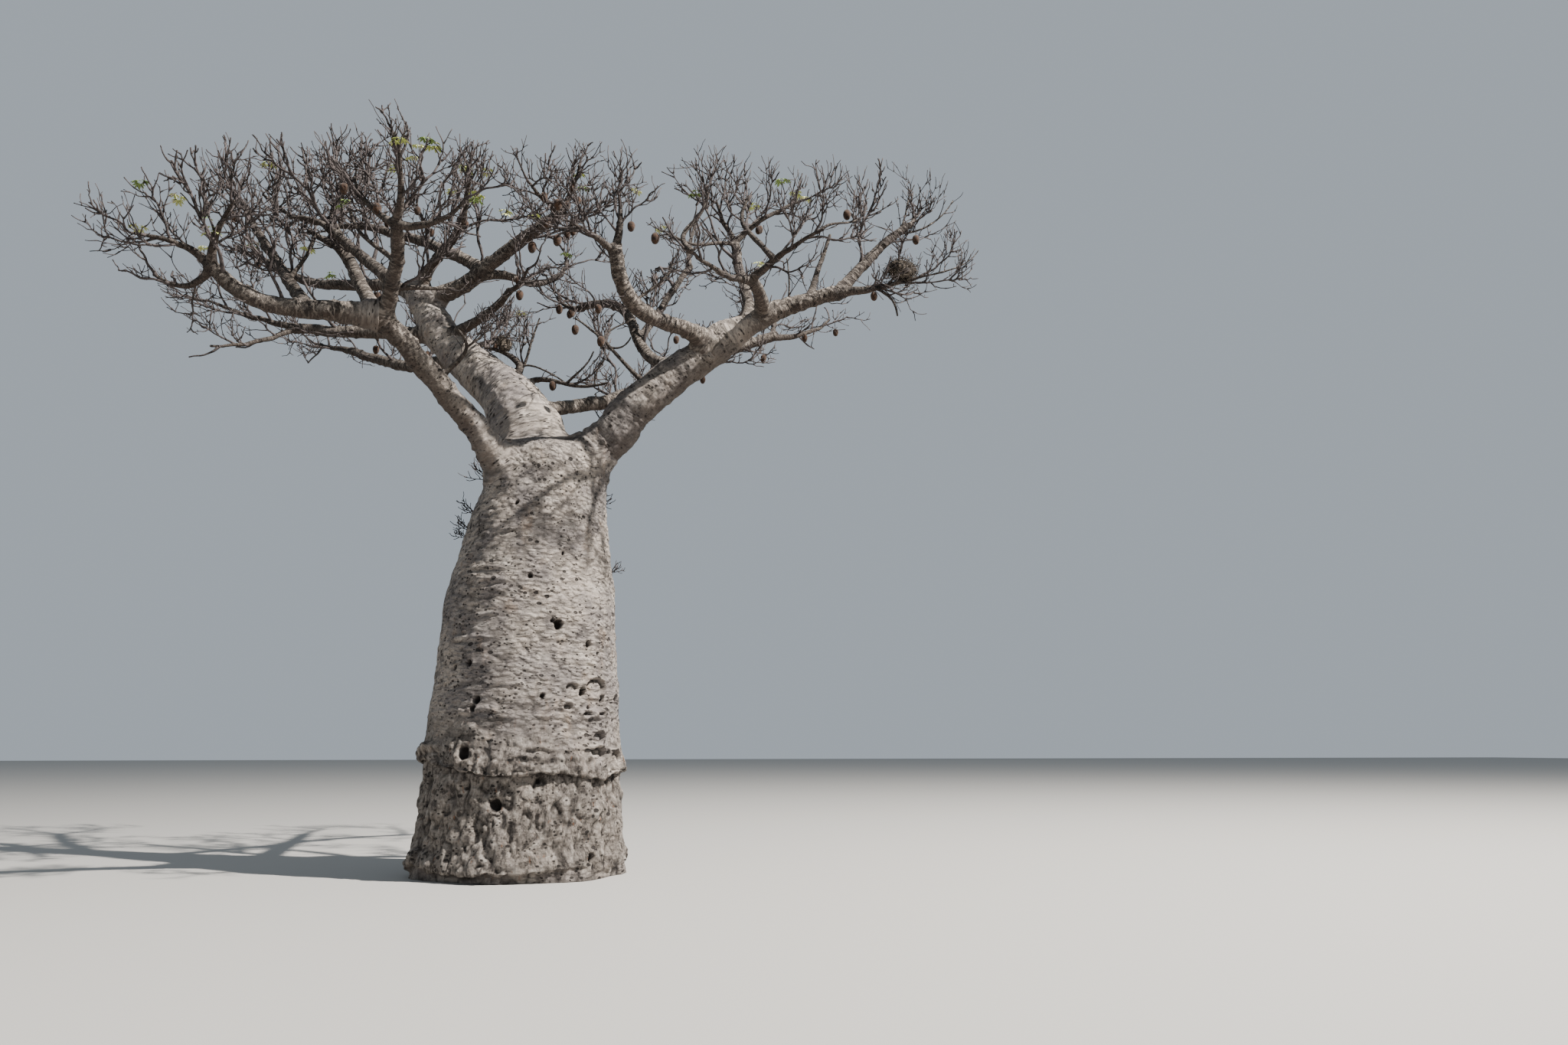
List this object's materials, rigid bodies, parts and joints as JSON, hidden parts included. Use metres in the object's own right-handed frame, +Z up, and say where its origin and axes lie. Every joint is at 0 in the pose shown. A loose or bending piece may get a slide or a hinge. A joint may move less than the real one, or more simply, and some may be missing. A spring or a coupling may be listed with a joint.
{
  "type": "baobab tree",
  "caption": "Leafless baobab tree with a thick bottle-shaped trunk, great spreading limbs and a wide, flat, open crown of boughs and bare twigs hung with a few fruits.",
  "frame": {"origin": "centre of the flat cut under the trunk, at ground level", "axes": "+Z up along the trunk, +X to the right and +Y away from the side that the picture shows"},
  "size_m": [12.575, 10.1409, 11.6216],
  "materials": {
    "trunk_bark": "smooth grey bark",
    "bough_bark": "brown-grey bark",
    "twigs": "dark rough twigs"
  },
  "bodies": {
    "root": {"front_mast": "bough_bark", "inner_left": "bough_bark", "left_high_bough": "bough_bark", "left_limb": "bough_bark", "left_low_bough": "bough_bark", "left_shelf": "bough_bark", "left_shelf_fork": "bough_bark", "middle_arch": "bough_bark", "middle_arch_low": "bough_bark", "middle_back_sweep": "bough_bark", "middle_limb": "bough_bark", "middle_riser": "bough_bark", "middle_stub": "bough_bark", "rear_left": "bough_bark", "rear_middle": "bough_bark", "rear_right": "bough_bark", "right_back_fork": "bough_bark", "right_back_riser": "bough_bark", "right_front_fork": "bough_bark", "right_inward": "bough_bark", "right_limb": "bough_bark", "right_mast": "bough_bark", "right_rear": "bough_bark", "right_rise": "bough_bark", "right_spread": "bough_bark", "trunk": "trunk_bark", "twigs_arch_front": "twigs", "twigs_arch_low": "twigs", "twigs_arch_top": "twigs", "twigs_back_fork": "twigs", "twigs_back_riser": "twigs", "twigs_back_sweep": "twigs", "twigs_front_left": "twigs", "twigs_front_right": "twigs", "twigs_high": "twigs", "twigs_inner_out": "twigs", "twigs_inner_up": "twigs", "twigs_inward_left": "twigs", "twigs_inward_up": "twigs", "twigs_left_fork": "twigs", "twigs_left_low": "twigs", "twigs_left_reach": "twigs", "twigs_left_riser": "twigs", "twigs_low_finger": "twigs", "twigs_low_out": "twigs", "twigs_mast_inward": "twigs", "twigs_mast_left": "twigs", "twigs_mast_outward": "twigs", "twigs_mast_right": "twigs", "twigs_mast_top": "twigs", "twigs_rear_centre": "twigs", "twigs_rear_left": "twigs", "twigs_rear_middle": "twigs", "twigs_rear_right": "twigs", "twigs_right_far": "twigs", "twigs_right_rear": "twigs", "twigs_right_rise": "twigs", "twigs_right_tip": "twigs", "twigs_riser": "twigs", "twigs_stub": "twigs"}
  },
  "joints": []
}
